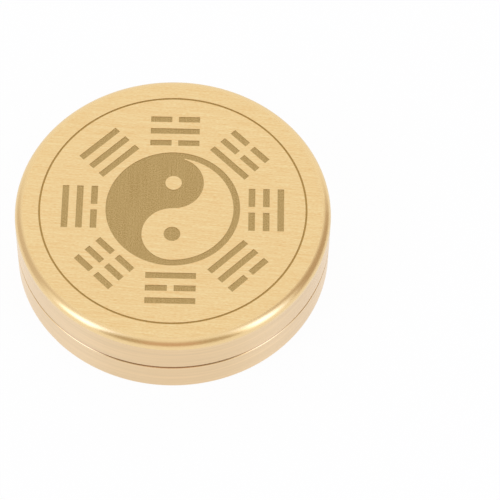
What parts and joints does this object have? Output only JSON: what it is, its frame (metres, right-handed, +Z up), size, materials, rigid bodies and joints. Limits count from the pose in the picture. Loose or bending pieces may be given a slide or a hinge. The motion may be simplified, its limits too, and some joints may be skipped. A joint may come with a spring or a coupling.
{
  "type": "feng shui compass",
  "caption": "Round brass pocket feng shui compass: a glazed printed dial with a floating needle under a thick lid engraved with trigrams and a taiji, which swings out sideways.",
  "frame": {"origin": "centre of the case's flat base", "axes": "+Z up through the needle's pivot and out of the lid; +Y towards the top of the lid's engraving; +X to its right"},
  "size_m": [0.06, 0.06, 0.0156],
  "materials": {
    "brass_satin": "satin, brushed across the flat faces and turned round the walls",
    "brass_polished": "polished",
    "dial_white": "matte white print ground",
    "ink_dark": "matte printing ink",
    "ink_red": "matte printing ink",
    "steel_bright": "bright",
    "steel_dark": "dark blued",
    "gasket_black": "matte",
    "cover_glass": "clear polished",
    "jewel_red": "polished"
  },
  "bodies": {
    "case": {"case_body": "brass_satin", "dial_plate": "dial_white", "dial_print": "ink_dark", "dial_red_cells": "ink_red", "pivot_post": "brass_polished", "pivot_pin": "steel_bright", "glass_gasket": "gasket_black", "glass": "cover_glass", "bezel": "brass_polished", "hinge_pin": "brass_polished", "hinge_washer": "brass_polished"},
    "needle": {"needle_blade": "steel_dark", "needle_collar": "brass_polished", "needle_hub": "brass_polished", "jewel_cup": "jewel_red"},
    "lid": {"lid": "brass_satin", "hinge_screw": "steel_bright"}
  },
  "joints": [
    {"name": "lid_swing", "type": "hinge", "parent": "case", "child": "lid", "pos_m": [0.0198, 0.0198, 0.00745], "axis": [0, 0, 1], "continuous": true},
    {"name": "needle_spin", "type": "hinge", "parent": "case", "child": "needle", "pos_m": [0, 0, 0.0045], "axis": [0, 0, 1], "continuous": true}
  ]
}
